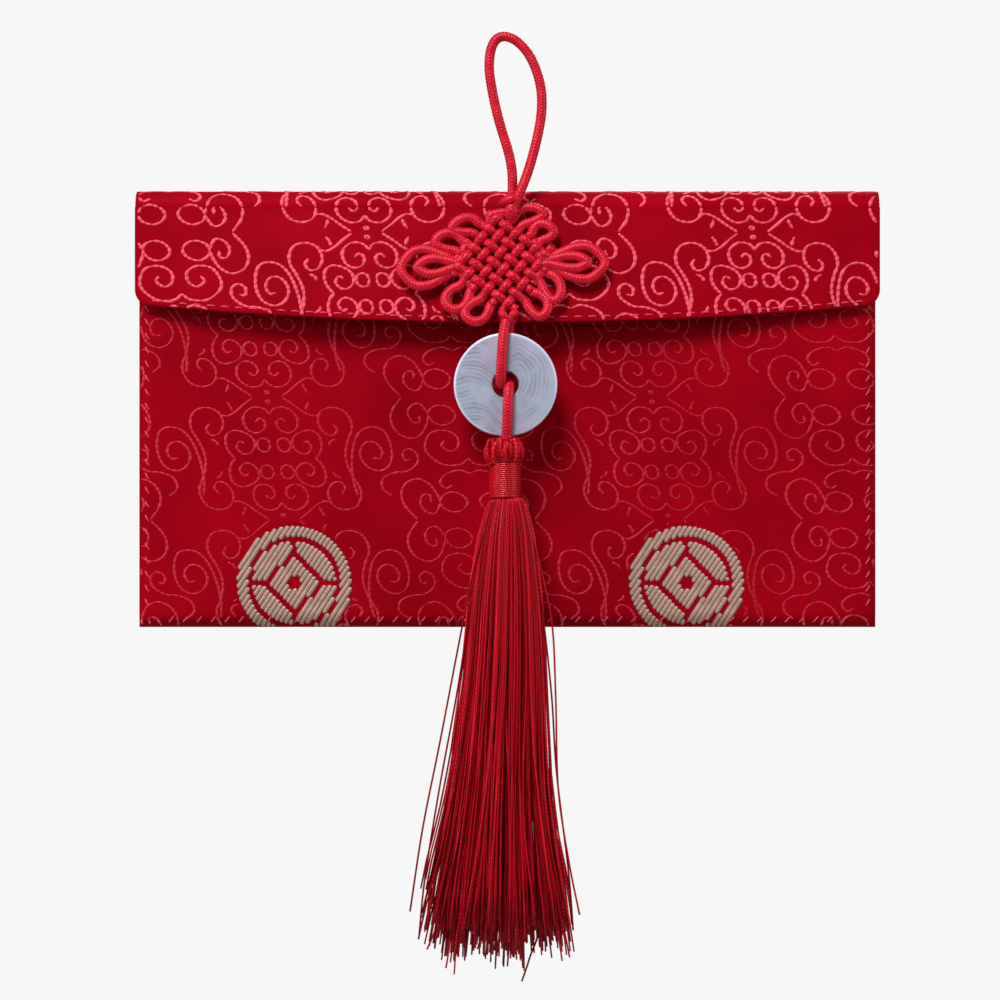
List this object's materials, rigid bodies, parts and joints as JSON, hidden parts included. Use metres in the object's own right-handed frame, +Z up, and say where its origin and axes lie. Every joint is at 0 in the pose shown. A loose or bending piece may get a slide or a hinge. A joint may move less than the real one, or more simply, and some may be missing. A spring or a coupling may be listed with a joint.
{
  "type": "red envelope",
  "caption": "Red brocade gift-money envelope with a lined pocket, a fold-over flap, a woven cord knot with a hanging loop, and a stone disc and thread tassel hung below it.",
  "frame": {"origin": "inside of the hanging loop's crown, where a hook bears", "axes": "+Z up along the hanging envelope, +Y from the flap's face to the back, +X to the right seen from the front"},
  "size_m": [0.191, 0.0248, 0.2343],
  "materials": {
    "brocade": "satin jacquard weave",
    "board": "matte",
    "lining": "plain weave",
    "thread": "spun",
    "cord": "satin cord",
    "disc": "polished",
    "tassel": "glossy thread"
  },
  "bodies": {
    "pocket": {"front_cover": "brocade", "front_board": "board", "front_lining": "lining", "back_cover": "brocade", "back_board": "board", "back_lining": "lining", "left_gusset": "brocade", "right_gusset": "brocade", "bottom_gusset": "brocade", "crease_fold": "brocade", "left_seam_stitches": "thread", "right_seam_stitches": "thread", "bottom_seam_stitches": "thread", "mouth_hem_stitches": "thread"},
    "flap": {"flap_cover": "brocade", "flap_board": "board", "flap_lining": "lining", "flap_hem_stitches": "thread", "knot_falling_strands": "cord", "knot_rising_strands": "cord", "knot_side_ears": "cord", "left_corner_ear": "cord", "right_corner_ear": "cord", "neck_knot": "cord", "knot_tack_stitches": "thread"},
    "loop": {"hanging_loop": "cord"},
    "pendant": {"tail_knot": "cord", "front_cord": "cord", "back_cord": "cord"},
    "disc": {"disc": "disc"},
    "tassel": {"tassel_crown": "tassel", "tassel_core": "tassel", "tassel_binding": "tassel", "tassel_skirt": "tassel"}
  },
  "joints": [
    {"name": "flap_fold", "type": "hinge", "parent": "pocket", "child": "flap", "pos_m": [0, 0.00667, -0.0422], "axis": [-1, 0, 0], "range_deg": [0, 95], "deforming": ["crease_fold"]},
    {"name": "loop_bend", "type": "hinge", "parent": "flap", "child": "loop", "pos_m": [0.0004, 0, -0.04184], "axis": [1, 0, 0], "range_deg": [-30, 70], "stiffness_Nm_per_rad": 0.0003},
    {"name": "pendant_swing", "type": "hinge", "parent": "flap", "child": "pendant", "pos_m": [0, -0.00493, -0.07133], "axis": [0, 1, 0], "range_deg": [-20, 20]},
    {"name": "disc_turn", "type": "hinge", "parent": "pendant", "child": "disc", "pos_m": [-0.0005, -0.00493, -0.088], "axis": [0, 1, 0], "continuous": true},
    {"name": "tassel_drop", "type": "hinge", "parent": "pendant", "child": "tassel", "pos_m": [-0.0006, -0.00493, -0.1069], "axis": [-1, 0, 0], "range_deg": [-95, 0]}
  ],
  "couplings": [
    {"joint": "tassel_drop", "follows": "flap_fold", "ratio": -1}
  ]
}
